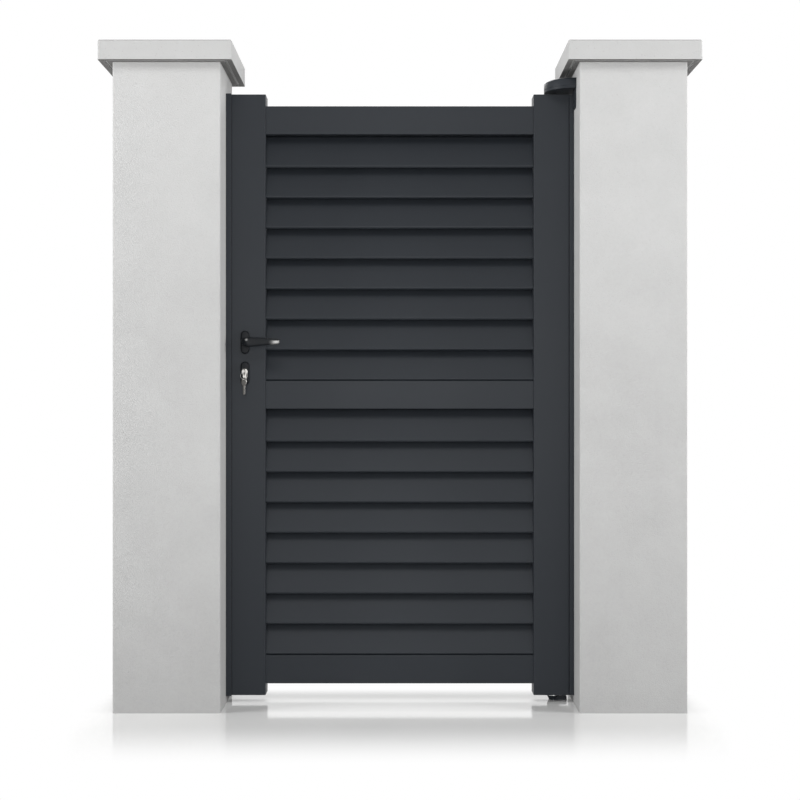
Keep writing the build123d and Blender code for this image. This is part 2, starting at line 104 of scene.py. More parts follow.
# %% A net of nodes
class Net:
    """The nodes of one material or of the world."""

    def __init__(self, tree):
        self.tree = tree

    def plug(self, socket, value):
        """Link a wire to the socket, or set the socket to a plain value."""
        if isinstance(value, Wire):
            self.tree.links.new(value.socket, socket)
        elif isinstance(value, tuple) and len(value) == 3 and socket.type == "RGBA":
            socket.default_value = (*value, 1.0)
        else:
            socket.default_value = value

    def node(self, kind, settings, sockets, result=0):
        """Add a node: its settings first, then its sockets, and give back one output."""
        made = self.tree.nodes.new("ShaderNode" + kind)
        for key, value in settings.items():
            setattr(made, key, value)
        for key, value in sockets.items():
            self.plug(made.inputs[key], value)
        return Wire(self, made.outputs[result])

    def picture_rays(self):
        """1 for rays that end in the picture, straight, by a mirror or through glass, and 0 for
        rays that only carry light to a surface."""
        kinds = ("Is Camera Ray", "Is Glossy Ray", "Is Transmission Ray")
        straight, mirrored, through = [self.node("LightPath", {}, {}, kind) for kind in kinds]
        return (straight + mirrored + through).clamped()


# %% A material under construction
MIX_A, MIX_B, MIX_RESULT = 6, 7, 2


class Finish(Net):
    """A material whose values on the surface shader are constants or wires."""

    def __init__(self, name, **constants):
        self.material = bpy.data.materials.new(name)
        self.material.use_nodes = True
        super().__init__(self.material.node_tree)
        self.shader = self.tree.nodes["Principled BSDF"]
        self.place = self.node("TexCoord", {}, {}, "Object")
        self.set(**constants)

    def noise(self, size, detail=2.0, roughness=0.5, vector=None):
        """A cloudy value about 0.5 whose blots are as wide as size, in metres."""
        sockets = {"Vector": vector or self.place, "Scale": 1.0 / size}
        sockets.update({"Detail": detail, "Roughness": roughness})
        return self.node("TexNoise", {}, sockets)

    def axis(self, name):
        """One coordinate of the surface point."""
        return self.node("SeparateXYZ", {}, {0: self.place}, name)

    def ramp(self, value, low, high):
        """0 below low, 1 above high, and a soft step between."""
        sockets = {"Value": value, "From Min": low, "From Max": high}
        return self.node("MapRange", {"interpolation_type": "SMOOTHSTEP"}, sockets)

    def mix(self, mask, first, second):
        """The first colour where the mask is 0 and the second where it is 1."""
        sockets = {0: mask, MIX_A: first, MIX_B: second}
        return self.node("Mix", {"data_type": "RGBA"}, sockets, MIX_RESULT)

    def bump(self, height, distance, strength):
        """Tilt the surface as if it rose by the height times the distance."""
        sockets = {"Height": height, "Distance": distance, "Strength": strength}
        return self.node("Bump", {}, sockets)

    def set(self, **values):
        """Give the surface shader its values, plain or varying, and hand back the material."""
        for key, value in values.items():
            self.plug(self.shader.inputs[key.replace("_", " ")], value)
        return self.material


print("shader helpers ready")

# %% [markdown]
# ## The powder coating
# The leaf is aluminium under a baked anthracite powder. Such a coat is a little orange-peeled and
# finely grained, never mirror smooth, and it is matt enough that slats show a soft gradient. It
# could be a picture wrapped round each bar, but a noise on the gate's own coordinates has no seams
# at the bars' edges. Three noises make it: grain a millimetre wide, orange peel of 6 mm, and a cloud
# a hand's span wide that shifts the colour and the sheen.

# %% Anthracite powder coating
coat = Finish("anthracite_powder_coating", Specular_IOR_Level=0.11)
grain = coat.noise(0.0011, detail=3.0, roughness=0.6)
peel = coat.noise(0.006, detail=1.0)
cloud = coat.noise(0.22, detail=2.0)
coat_colour = coat.mix(
    (cloud * 0.5 + grain * 0.5).clamped(), (0.0148, 0.0174, 0.0212), (0.0206, 0.0236, 0.0280)
)
coat_bump = coat.bump(grain + peel * 0.6, 0.00004, 0.5)
coat.set(Base_Color=coat_colour, Roughness=0.34 + cloud * 0.1 + grain * 0.06, Normal=coat_bump)
print("coating nodes", len(coat.tree.nodes))

# %% [markdown]
# ## The render on the pillars
# The pillars are plastered with a fine-grained scraped render. Up close it is packed sand grains
# with small pits, and from across the road it is a pale grey with faint clouds. Its colour is painted
# lighter with height and a little darker near the ground, as painted light and shade from the lamps
# above. Modelled grains would be far too many faces, so they are shading alone: a Voronoi pattern
# gives separate grains, and noise breaks them up so that no two places look alike.

# %% Fine-grained pale render
foot_shade_height = 0.45
plaster = Finish("pale_fine_render", Specular_IOR_Level=0.25)
sand = plaster.node(
    "TexVoronoi", {"feature": "F1"}, {"Vector": plaster.place, "Scale": 330.0, "Randomness": 1.0}
)
speckle = plaster.noise(0.007, detail=4.0, roughness=0.7)
trowel = plaster.noise(0.10, detail=3.0, roughness=0.55)
patches = plaster.noise(0.55, detail=2.0)
pits = plaster.ramp(speckle, 0.60, 0.72)
# Painted shade and light: the tone darkens near the ground and grows lighter with height, standing in for
# light from above.
painted_foot_shade = 1 - plaster.ramp(plaster.axis("Z"), 0.0, foot_shade_height)
painted_light_with_height = plaster.axis("Z") * 0.30
tone = (trowel * 0.3 + patches * 0.25 + speckle * 0.35 + painted_light_with_height - 0.20 - painted_foot_shade * 0.08).clamped()
pale = plaster.mix(tone, (0.28, 0.28, 0.278), (0.445, 0.445, 0.443))
plaster_colour = plaster.mix(pits * 0.35, pale, (0.25, 0.25, 0.248))
relief = speckle * 0.8 + trowel * 0.5 - sand * 0.5 - pits * 0.35
plaster.set(
    Base_Color=plaster_colour,
    Roughness=0.88 + speckle * 0.1,
    Normal=plaster.bump(relief, 0.0012, 0.7),
)
print("render nodes", len(plaster.tree.nodes))

# %% [markdown]
# ## The cast caps
# Each cap is one block of cast pale concrete. Casting leaves a closed smooth skin with a few air
# holes and cloudy damp patches, so its relief is shallower and finer than the render's. The underside
# is painted darker, as painted shade under the overhang. The height on the cap tells the underside
# from the rest.

# %% Cast concrete
cap_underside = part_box("left_pillar_cap")[0].z
underside_shade_from, underside_shade_by = cap_underside + 0.0002, cap_underside + 0.0012
cast = Finish("cast_pale_concrete", Specular_IOR_Level=0.3)
fines = cast.noise(0.004, detail=3.0, roughness=0.65)
damp = cast.noise(0.16, detail=4.0, roughness=0.6)
holes = cast.node("TexVoronoi", {"feature": "F1"}, {"Vector": cast.place, "Scale": 85.0})
blow_holes = 1 - cast.ramp(holes, 0.07, 0.13)
cast_tone = (damp * 0.7 + fines * 0.4 - 0.05).clamped()
cast_colour = cast.mix(cast_tone, (0.345, 0.345, 0.343), (0.415, 0.415, 0.413))
# Painted shade: at the underside's height the colour turns dark, standing in for the shade under the cap.
painted_underside_shade = 1 - cast.ramp(cast.axis("Z"), underside_shade_from, underside_shade_by)
cast_with_underside_shade = cast.mix(painted_underside_shade * 0.9, cast_colour, (0.11, 0.108, 0.105))
cast.set(
    Base_Color=cast.mix(blow_holes * 0.5, cast_with_underside_shade, (0.24, 0.24, 0.238)),
    Roughness=0.78 + fines * 0.14,
    Normal=cast.bump(fines * 0.5 - blow_holes * 0.8, 0.0009, 0.6),
)
print("concrete nodes", len(cast.tree.nodes))

# %% [markdown]
# ## Metals, the handle's black and the seal
# The levers and roses are satin black. The grip's tip is painted as bright bare metal, which stands
# in for the highlight the light makes there, and a painted highlight sits on the neck's bend; a mask
# worked out from the spindle's place finds both, on the front and on the back. The cylinder and keys
# are nickel with fine scratches, the pins are zinc plated steel, and the seal is matt rubber. A
# brushed look needs a noise that is stretched: its vector is scaled far less along z.

# %% Where the painted highlights sit on the lever
spindle_low, spindle_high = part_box("spindle")
leaf_low, leaf_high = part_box("hinge_stile")
axis_x = (spindle_low.x + spindle_high.x) / 2
axis_z = (spindle_low.z + spindle_high.z) / 2
leaf_mid_y = (leaf_low.y + leaf_high.y) / 2
# Painted highlights: a bright band on the grip's end and a spot on the neck's bend.
tip_dark_until, tip_bright_from = axis_x + 0.078, axis_x + 0.100
tip_bright_below, tip_dark_above = axis_z + 0.002, axis_z + 0.007
neck_highlight_x, neck_highlight_z, neck_highlight_radius = axis_x + 0.009, axis_z + 0.0055, 0.0052
neck_highlight_depth_from, neck_highlight_depth_full = 0.0865, 0.0915
print("spindle axis", round(axis_x, 4), round(axis_z, 4), "middle of the leaf", round(leaf_mid_y, 4))

# %% Satin black with a painted bright tip and neck highlight
satin = Finish("satin_black_handles", Specular_IOR_Level=0.08)
satin_grain = satin.noise(0.0009, detail=2.0)
rub_and_highlight_noise = satin.noise(0.012, detail=3.0, roughness=0.65)
# Painted highlight: the tip mask makes the grip's end and the neck spot bright metal, in the place of
# highlights.
tip_highlight_x = satin.ramp(satin.axis("X") + rub_and_highlight_noise * 0.014, tip_dark_until, tip_bright_from)
tip_highlight_z = 1 - satin.ramp(satin.axis("Z") + rub_and_highlight_noise * 0.003, tip_bright_below, tip_dark_above)
beside_neck_highlight = satin.axis("X") - neck_highlight_x
over_neck_highlight = satin.axis("Z") - neck_highlight_z
painted_neck_highlight = 1 - satin.ramp(beside_neck_highlight * beside_neck_highlight + over_neck_highlight * over_neck_highlight, 0.0, neck_highlight_radius**2)
off_face = satin.ramp(abs(satin.axis("Y") - leaf_mid_y), neck_highlight_depth_from, neck_highlight_depth_full)
tip = (tip_highlight_x * tip_highlight_z * 0.85 + painted_neck_highlight * off_face * 0.7).clamped()
satin_colour = satin.mix(satin_grain, (0.0045, 0.0053, 0.0066), (0.0078, 0.0090, 0.0108))
satin.set(
    Base_Color=satin.mix(tip, satin_colour, (0.24, 0.24, 0.235)),
    Metallic=tip,
    Roughness=0.30 + rub_and_highlight_noise * 0.16,
    Normal=satin.bump(satin_grain, 0.00006, 0.5),
)
print("handle nodes", len(satin.tree.nodes))


# %% Nickel, zinc plate and rubber
def plated(name, dark, light, rough, scratch):
    """A metal with fine scratches: a noise stretched along z makes the brushing."""
    metal = Finish(name, Metallic=1.0)
    stretch = metal.node("Mapping", {}, {"Vector": metal.place, "Scale": (1.0, 1.0, 0.06)})
    lines = metal.noise(0.0005, detail=3.0, roughness=0.7, vector=stretch)
    stain = metal.noise(0.008, detail=3.0, roughness=0.6)
    shade = (lines * 0.5 + stain * 0.6).clamped()
    metal.set(
        Base_Color=metal.mix(shade, dark, light),
        Roughness=rough + lines * scratch + stain * 0.08,
        Normal=metal.bump(lines, 0.00003, 0.6),
    )
    return metal.material


nickel = plated(
    "worn_nickel", dark=(0.20, 0.194, 0.184), light=(0.44, 0.428, 0.408), rough=0.30, scratch=0.2
)
zinc = plated(
    "zinc_plated_steel", dark=(0.40, 0.405, 0.41), light=(0.66, 0.66, 0.655), rough=0.30, scratch=0.16
)

seal = Finish("seal_rubber", Specular_IOR_Level=0.3)
seal_grain = seal.noise(0.0015, detail=3.0)
seal.set(
    Base_Color=seal.mix(seal_grain, (0.010, 0.010, 0.011), (0.020, 0.020, 0.021)),
    Roughness=0.66 + seal_grain * 0.2,
    Normal=seal.bump(seal_grain, 0.0001, 0.4),
)
finish_of = {
    "render": plaster.material,
    "cap_concrete": cast.material,
    "gate_coating": coat.material,
    "handle_coating": satin.material,
    "bright_steel": zinc,
    "nickel": nickel,
    "seal_rubber": seal.material,
}
print("finishes", sorted(finish_of))

# %% [markdown]
# ## Dressing the solids
# Every solid of the frame names the stuff it is made of, its slot. Giving finishes by slot and not
# by piece keeps all coated bars alike, and the grain runs on from bar to bar without a repeat.

# %% Dress every solid
for name, solid in nodes.items():
    solid.data.materials.clear()
    solid.data.materials.append(finish_of[slot_of[name]])
print("dressed", len(nodes))

# %% [markdown]
# ## Skins from rings
# Most small parts are a closed skin over a row of rings: a screw is rings that grow and shrink about
# one line, and a lever is rings carried along a bent path. One helper turns an array of rings into a
# mesh. It closes both ends with a fan and turns every face outwards, which it tests by the volume.

# %% From an array of rings to a closed mesh
def skin(name, rings, slot, body, loop=False, smooth=True):
    """Join ring i to ring i + 1 by quads. With loop, the last ring joins the first, else fans to the
    rings' centres close both ends. The signed volume, the sum over faces of corner . (corner x
    corner) / 6, tells which way the faces point."""
    rings = np.asarray(rings, dtype=float)
    count, around = rings.shape[:2]
    points = rings.reshape(-1, 3)
    rows = count if loop else count - 1
    i, j = np.meshgrid(np.arange(rows), np.arange(around), indexing="ij")
    i_next, j_next = (i + 1) % count, (j + 1) % around
    corners = [i * around + j, i * around + j_next, i_next * around + j_next, i_next * around + j]
    quads = np.stack(corners, axis=-1).reshape(-1, 4)
    halves = np.concatenate([quads[:, [0, 1, 2]], quads[:, [0, 2, 3]]])
    fans = np.zeros((0, 3), dtype=int)
    if not loop:
        points = np.concatenate([points, rings[0].mean(axis=0)[None], rings[-1].mean(axis=0)[None]])
        ring = np.arange(around)
        after = (ring + 1) % around
        last = (count - 1) * around
        low = np.stack([np.full(around, len(points) - 2), after, ring], axis=-1)
        high = np.stack([np.full(around, len(points) - 1), last + ring, last + after], axis=-1)
        fans = np.concatenate([low, high])
    shell = points[np.concatenate([halves, fans])]
    volume = np.einsum("ij,ij->i", shell[:, 0], np.cross(shell[:, 1], shell[:, 2])).sum() / 6
    if volume < 0:
        quads, fans = quads[:, ::-1], fans[:, ::-1]
    mesh = bpy.data.meshes.new(name)
    mesh.from_pydata(points.tolist(), [], quads.tolist() + fans.tolist())
    mesh.polygons.foreach_set("use_smooth", np.full(len(mesh.polygons), smooth))
    mesh.materials.append(finish_of[slot])
    piece = bpy.data.objects.new(name, mesh)
    scene.collection.objects.link(piece)
    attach(piece, body)
    return piece


def sharpen(piece, angle=0.6):
    """Keep edges that turn by more than the angle crisp under smooth shading."""
    piece.data.set_sharp_from_angle(angle=angle)
    return piece


def turned(rings, place, outward):
    """Stand rings that were made about the z axis on a place, with z along the outward direction."""
    z = np.array(outward, dtype=float)
    side = np.array([0.0, 0.0, 1.0]) if abs(z[2]) < 0.9 else np.array([1.0, 0.0, 0.0])
    x = np.cross(side, z)
    y = np.cross(z, x)
    return np.array(place) + rings[..., :1] * x + rings[..., 1:2] * y + rings[..., 2:] * z


print("skin ready")

# %% [markdown]
# ## Screws
# The hinge plate, the strike, the lock's faceplate and the shoe are screwed on with hexagon-socket
# heads. Modelling a boolean for each socket would be heavy, so the head is a single skin: its rings
# are round outside, and the ring at the socket's rim is a hexagon, which then drops straight down.

# %% One screw
def screw_rings(radius, height, socket):
    """Rings about z: radius r_k(t) at height h_k. Outside r is constant, and at the socket it is
    the hexagon's apothem / cos(t wrapped to within 30 degrees)."""
    t = np.linspace(0.0, 2 * np.pi, 24, endpoint=False)
    hexagon = socket / np.cos((t + np.pi / 6) % (np.pi / 3) - np.pi / 6)
    round_ring = np.ones_like(t)
    steps = [
        (radius * 0.98 * round_ring, -0.4 * height),
        (radius * round_ring, 0.15 * height),
        (radius * 0.97 * round_ring, 0.65 * height),
        (radius * 0.86 * round_ring, 0.94 * height),
        (radius * 0.72 * round_ring, height),
        (hexagon * 1.06, height),
        (hexagon, 0.9 * height),
        (hexagon * 0.98, 0.15 * height),
        (hexagon * 0.3, 0.05 * height),
    ]
    rings = [np.stack([r * np.cos(t), r * np.sin(t), np.full_like(t, h)], axis=-1) for r, h in steps]
    return np.stack(rings)


print("one screw", screw_rings(0.005, 0.0015, 0.0021).shape)

# %% Every screw on its face
hinge_low, hinge_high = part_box("hinge_bracket")
shoe_low, shoe_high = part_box("pivot_shoe")
strike_low, strike_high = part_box("strike_profile")
case_low, case_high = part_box("lock_case")
cover_low, cover_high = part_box("hinge_cover")
hinge_plate, strike_sheet = 0.003, 0.002
plate_screw_reach, plate_screw_rise, faceplate_screw_reach = 0.066, 0.018, 0.110
strike_screw_inset, shoe_screw_inset, cover_screw_inset = 0.012, 0.009, 0.018
strike_screw_heights = np.linspace(0.12, 1.64, 6)
plate_mid_y = (hinge_low.y + hinge_high.y) / 2
plate_face = hinge_high.x - hinge_plate
case_mid_z = (case_low.z + case_high.z) / 2
to_lock, to_hinge, up = (-1, 0, 0), (1, 0, 0), (0, 0, 1)
head = {"plate": (0.0055, 0.0016), "faceplate": (0.0038, 0.0006), "strike": (0.0042, 0.0012)}
head.update({"shoe": (0.0048, 0.0024), "cover": (0.0045, 0.0016)})
screws = []
for side in (-1, 1):
    in_plate = (plate_face, plate_mid_y + side * plate_screw_reach, hinge_low.z + plate_screw_rise)
    screws.append(("posts", in_plate, to_lock, head["plate"]))
    in_faceplate = (case_low.x, leaf_mid_y, case_mid_z + side * faceplate_screw_reach)
    screws.append(("leaf", in_faceplate, to_lock, head["faceplate"]))
for height in strike_screw_heights:
    in_strike = (strike_low.x + strike_sheet, strike_high.y - strike_screw_inset, height)
    screws.append(("posts", in_strike, to_hinge, head["strike"]))
on_shoe = (shoe_high.x - shoe_screw_inset, (shoe_low.y + shoe_high.y) / 2, shoe_high.z)
screws.append(("posts", on_shoe, up, head["shoe"]))
on_cover = (cover_high.x - cover_screw_inset, (cover_low.y + cover_high.y) / 2, cover_high.z)
screws.append(("posts", on_cover, up, head["cover"]))
for number, (body, place, outward, (radius, height)) in enumerate(screws, start=1):
    rings = screw_rings(radius, height, radius * 0.42)
    slot = "bright_steel" if body == "leaf" else "gate_coating"
    sharpen(skin(f"socket_screw_{number:02d}", turned(rings, place, outward), slot, body))
print("screws", len(screws))

# %% [markdown]
# ## Levers
# A cast lever has no corners: its round neck comes out of the rose, bends through a quarter turn and
# widens into a grip that is flat for the fingers and slims from below towards its tip. It is one
# closed form, so it is a section carried along a bent path. The section is a superellipse, which
# goes from a circle in the neck to a rounded rectangle in the grip by its exponent alone.

# %% Cast levers
lever_end_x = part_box("front_lever")[1].x
grip_back = 0.0465
grip_thickness = 0.012
grip_top, top_slims = 0.0120, 0.0030
grip_under, under_slims = 0.0160, 0.0090
neck_radius = 0.0095
neck_bend = 0.0125
tip_length = 0.006
slim_from = 0.016


def soft_step(value, low, high):
    """0 below low, 1 above high, 3 t^2 - 2 t^3 between."""
    t = np.clip((value - low) / (high - low), 0.0, 1.0)
    return t * t * (3 - 2 * t)


def lever_rings(outward, face):
    """Sections along a path: straight out of the face, a quarter circle, then along x to the tip.
    Half height and half thickness are smooth functions of the length run, and the section is
    (|u| / a)^n + (|v| / b)^n = 1 with n from 2 in the neck to 3.4 in the grip."""
    reach = lever_end_x - axis_x
    straight = grip_back + grip_thickness / 2 - neck_bend
    arc = neck_bend * np.pi / 2
    total = straight + arc + (reach - neck_bend)
    run = np.concatenate(
        [
            np.linspace(0.0, straight, 6)[:-1],
            np.linspace(straight, straight + arc, 12)[:-1],
            np.linspace(straight + arc, total - tip_length, 26)[:-1],
            total - tip_length * np.cos(np.linspace(0.0, np.pi / 2, 8)),
        ]
    )
    turn = np.clip((run - straight) / neck_bend, 0.0, np.pi / 2)
    along = neck_bend * (1 - np.cos(turn)) + np.clip(run - straight - arc, 0.0, None)
    out = np.minimum(run, straight) + neck_bend * np.sin(turn)
    grip = soft_step(run, straight - 0.004, straight + arc + 0.010)
    slim = np.clip((along - slim_from) / (reach - slim_from), 0.0, 1.0)
    top = neck_radius + grip * (grip_top - neck_radius - top_slims * slim**2)
    under = neck_radius + grip * (grip_under - neck_radius - under_slims * slim**0.9)
    past = np.clip((run - total + tip_length) / tip_length, 0.0, 1.0)
    end = np.sqrt(np.clip(1 - past**2, 0.0, 1.0))
    half = (top + under) / 2 * (0.35 + 0.65 * end)
    lift = (top - under) / 2
    thick = neck_radius + grip * (grip_thickness / 2 - neck_radius - 0.0006 * slim)
    thick = thick * (0.2 + 0.8 * end)
    power = 2.0 + 1.4 * grip
    t = np.linspace(0.0, 2 * np.pi, 32, endpoint=False)
    shape = 2 / power[:, None]
    u = np.sign(np.cos(t)) * np.abs(np.cos(t)) ** shape * thick[:, None]
    v = np.sign(np.sin(t)) * np.abs(np.sin(t)) ** shape * half[:, None] + lift[:, None]
    y = out[:, None] - u * np.sin(turn)[:, None]
    x = axis_x + along[:, None] + u * np.cos(turn)[:, None]
    return np.stack([x, face + outward * y, axis_z + v], axis=-1)


for side, outward, face in (("front", -1, leaf_low.y), ("back", 1, leaf_high.y)):
    lever = skin(f"cast_{side}_lever", lever_rings(outward, face), "handle_coating", "levers")
    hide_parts(f"{side}_lever")
    print(lever.name, [round(c, 4) for c in lever.dimensions])

# %% [markdown]
# ## Roses
# The roses are pressed covers: an oval with a soft rim. Their outline is a stadium, two half circles
# joined by straight flanks, and each ring of the skin is the same stadium, a little smaller and a
# little further out, so the rim rounds over without a modifier.

# %% Domed roses
def rose_rings(low, high, outward):
    """Stadium rings: centre +- the flank at angle t plus radius r_k at height h_k, where r_k falls
    and h_k rises over a quarter round."""
    half_width = (high.x - low.x) / 2
    flank = (high.z - low.z) / 2 - half_width
    depth = high.y - low.y
    t = (np.arange(56) + 0.5) * 2 * np.pi / 56
    curve = np.linspace(0.0, np.pi / 2, 9)
    rim = 0.0042
    inset = np.concatenate([[0.0, 0.0], rim * (1 - np.cos(curve))])
    height = np.concatenate([[0.0, depth * 0.3], depth - rim + rim * np.sin(curve)])
    radius = (half_width - inset)[:, None]
    x = (low.x + high.x) / 2 + radius * np.cos(t)
    z = (low.z + high.z) / 2 + radius * np.sin(t) + flank * np.sign(np.sin(t))
    base = high.y if outward < 0 else low.y
    return np.stack([x, (base + outward * height)[:, None] * np.ones_like(x), z], axis=-1)


for side, outward in (("front", -1), ("back", 1)):
    for kind in ("handle", "cylinder"):
        node = f"{side}_{kind}_rose"
        rose = skin(f"domed_{node}", rose_rings(*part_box(node), outward), "handle_coating", "leaf")
        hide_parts(node)
        print(rose.name, [round(c, 4) for c in rose.dimensions])

# %% [markdown]
# ## Split ring and keys
# The ring is hardened wire wound nearly twice round, so that a key can be threaded on. Its path is a
# flat coil, and its section a rounded square. A key is cut from flat strip. Cutting a hole through a
# plate leaves long thin faces, so the bow is a skin round its hole instead: seen from the hole's
# centre, the outline is one distance for each direction, and eight rings lead from the hole's edge
# out to the outline and back on the other face. The blade is a row of sections, one behind the
# other, whose lower edge rises at each cut.

# %% Split ring
ring_low, ring_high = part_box("key_ring")
ring_center = (ring_low + ring_high) / 2


def split_ring_rings(radius, wire):
    """A coil of 1.9 turns: angle a runs along it, and its depth goes from half a wire in front to
    half a wire behind in one soft step as the second turn begins. The section is a rounded square
    turned with the coil."""
    a = np.linspace(0.0, 1.9 * 2 * np.pi, 110)
    depth = wire * (soft_step(a, 1.75 * np.pi, 2.1 * np.pi) - 0.5)
    t = np.linspace(0.0, 2 * np.pi, 10, endpoint=False)
    u = np.sign(np.cos(t)) * np.abs(np.cos(t)) ** 0.6 * wire * 0.5
    v = np.sign(np.sin(t)) * np.abs(np.sin(t)) ** 0.6 * wire * 0.47
    r = radius + u[None, :]
    x = ring_center.x + r * np.sin(a)[:, None]
    z = ring_center.z + r * np.cos(a)[:, None]
    y = ring_center.y + depth[:, None] + v[None, :] * np.ones_like(a)[:, None]
    return np.stack([x, y, z], axis=-1)


ring_wire = (ring_high.y - ring_low.y) / 2
ring_radius = (ring_high.x - ring_low.x) / 2 - ring_wire * 0.55
split_ring = skin("split_ring", split_ring_rings(ring_radius, ring_wire), "nickel", "key")
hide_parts("key_ring")
print("split ring", [round(c, 4) for c in split_ring.dimensions])

# %% Key shapes
bow_radius, near_center, far_center = 0.0095, 0.0030, 0.0080
hole_radius, hole_inset = 0.0036, 0.0065
half_strip, rounding = 0.0011, 0.0004
blade_start, blade_end, blade_half_height = 0.0160, 0.0420, 0.0040
first_cut, last_cut, cut_pitch, cut_depth = 0.0195, 0.0400, 0.0042, 0.0016
half_blade, groove_depth = 0.00105, 0.00045


def bow_rings(place, along, across, through):
    """Eight rings round the hole: its edge and the bow's outline with their soft corners, and the
    same on the other face. The outline is a stadium seen from the hole's centre: where direction t
    leaves it, through the flat side or through one of its two round ends."""
    t = np.linspace(0.0, 2 * np.pi, 48, endpoint=False)
    flat = bow_radius / np.maximum(np.abs(np.sin(t)), 1e-6)
    past_near = flat * np.cos(t) > near_center
    before_far = flat * np.cos(t) < far_center
    center = np.where(past_near, far_center, near_center)
    reach = center * np.cos(t) + np.sqrt(bow_radius**2 - (center * np.sin(t)) ** 2)
    outline = np.where(past_near & before_far, flat, reach)
    hole = np.full_like(t, hole_radius)
    steps = [
        (hole, -half_strip * 0.7),
        (hole + rounding, -half_strip),
        (outline - rounding, -half_strip),
        (outline, -half_strip * 0.6),
    ]
    steps += [(radius, -depth) for radius, depth in reversed(steps)]
    return np.stack(
        [
            place + (r * np.cos(t))[:, None] * along + (r * np.sin(t))[:, None] * across + d * through
            for r, d in steps
        ]
    )


def blade_rings(place, along, across, through):
    """Sections along the blade: a plain upper edge, and a lower edge with the cuts, a row of
    notches whose depth is a rounded sine, while a groove runs along one face."""
    s = np.linspace(blade_start, blade_end, 66)
    cuts = cut_depth * np.clip(np.sin((s - first_cut) * 2 * np.pi / cut_pitch) * 1.4, 0.0, 1.0)
    cuts = cuts * (s > first_cut) * (s < last_cut)
    taper = 1 - 0.55 * soft_step(s, blade_end - 0.0025, blade_end)
    top = blade_half_height * taper
    low = -blade_half_height * taper + cuts
    grooved_face = [0.3 * low, 0.12 * low, 0.2 * top, 0.4 * top]
    plain_face = [0.3 * top, 0.2 * low]
    w = np.stack([low, low, *grooved_face, top, top, *plain_face], axis=1)
    in_groove = 1 - groove_depth / half_blade
    side = half_blade * np.array([-0.75, 1, 1, in_groove, in_groove, 1, 1, -0.75, -1, -1])
    return place + s[:, None, None] * along + w[..., None] * across + (side[:, None] * through)[None]


print("blade length", round(blade_end - blade_start, 4))


# %% Keys
def cut_key(name, node, place, along, across, through):
    """A key is a bow with its hole and a blade. The bow stands for the solid."""
    axes = [np.array(a, dtype=float) for a in (place, along, across, through)]
    bow = sharpen(skin(f"{name}_bow", bow_rings(*axes), "nickel", "key", loop=True))
    sharpen(skin(f"{name}_blade", blade_rings(*axes), "nickel", "key"))
    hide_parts(node)
    print(name, [round(c, 4) for c in bow.dimensions])


key_low, key_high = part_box("key")
key_hole = (axis_x, key_low.y + hole_inset, (key_low.z + key_high.z) / 2)
cut_key("lock_key", "key", key_hole, along=(0, 1, 0), across=(0, 0, 1), through=(1, 0, 0))
hang_low, hang_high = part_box("hanging_key")
hang_turn = np.radians(48.0)
hang_hole = (axis_x, (hang_low.y + hang_high.y) / 2, hang_high.z - hole_inset)
swing = (np.cos(hang_turn), np.sin(hang_turn), 0.0)
sideways = (-swing[1], swing[0], 0.0)
cut_key("spare_key", "hanging_key", hang_hole, along=(0, 0, -1), across=sideways, through=swing)

# %% [markdown]
# ## Cover of the top hinge
# The cover is a pressed half disc with a soft dome, whose skirt hides the shelf it is screwed to, and
# a fine seam runs round it where lid and skirt meet. Its outline is a half circle closed by a
# straight back, and every ring of the skin is that outline, drawn in a little. The seam is four of
# those rings, two of them drawn in more, so it needs no cut.

# %% Hinge cover
skirt_drop = 0.0066


def cover_rings(low, high):
    """Half circle of radius R - i about the wall, x = x0 - (R - i) cos t and y = y0 + (R - i) sin t,
    then the straight back, at heights that rise from the skirt's lip over the seam to the dome."""
    radius = (high.y - low.y) / 2
    middle = (high.y + low.y) / 2
    t = np.linspace(-np.pi / 2, np.pi / 2, 49)
    lip, seam, crown = low.z - skirt_drop, low.z, high.z
    inside = [(0.0020, seam + 0.0002), (0.0020, lip + 0.0003)]
    rim = [(0.0016, lip), (0.0004, lip), (0.0, lip + 0.0004)]
    across_seam = [(0.0, -0.0008), (0.0009, -0.0004), (0.0009, 0.0004), (0.0, 0.0008)]
    across_seam = [(inset, seam + rise) for inset, rise in across_seam]
    dome = [(0.0, 0.0070), (0.0010, 0.0048), (0.0032, 0.0030), (0.0080, 0.0018)]
    dome += [(0.0200, 0.0009), (0.0450, 0.0004)]
    dome = [(inset, crown - fall) for inset, fall in dome]
    rings = []
    for inset, height in inside + rim + across_seam + dome:
        reach = radius - inset
        arc = np.column_stack([high.x - reach * np.cos(t), middle + reach * np.sin(t)])
        back = np.column_stack([np.full(9, high.x), middle + reach * np.linspace(0.9, -0.9, 9)])
        flat = np.concatenate([arc, back])
        rings.append(np.column_stack([flat, np.full(len(flat), height)]))
    return np.stack(rings)


cover = sharpen(skin("domed_hinge_cover", cover_rings(cover_low, cover_high), "gate_coating", "posts"))
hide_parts("hinge_cover")
print(cover.name, [round(c, 4) for c in cover.dimensions])

# %% [markdown]
# ## Trim on the hinge side
# The gap beside the hinge stile is closed to the eye by a slim angle on the reveal, the twin of the
# strike. It is thin sheet with straight edges, so one flat section of eight corners is carried up
# the reveal. Beside the hinge plate there is no room for the angle, and a narrow tongue on the plate
# goes on in its line.

# %% Hinge-side trim
trim_depth, trim_width = 0.040, 0.0130
trim_leg, trim_face = 0.0015, 0.0025
trim_bevel, front_bevel = 0.0005, 0.0004


def angle_rings(corners, heights):
    """The same flat section of corners at each height."""
    flat = np.array(corners, dtype=float)
    return np.stack([np.column_stack([flat, np.full(len(flat), h)]) for h in heights])


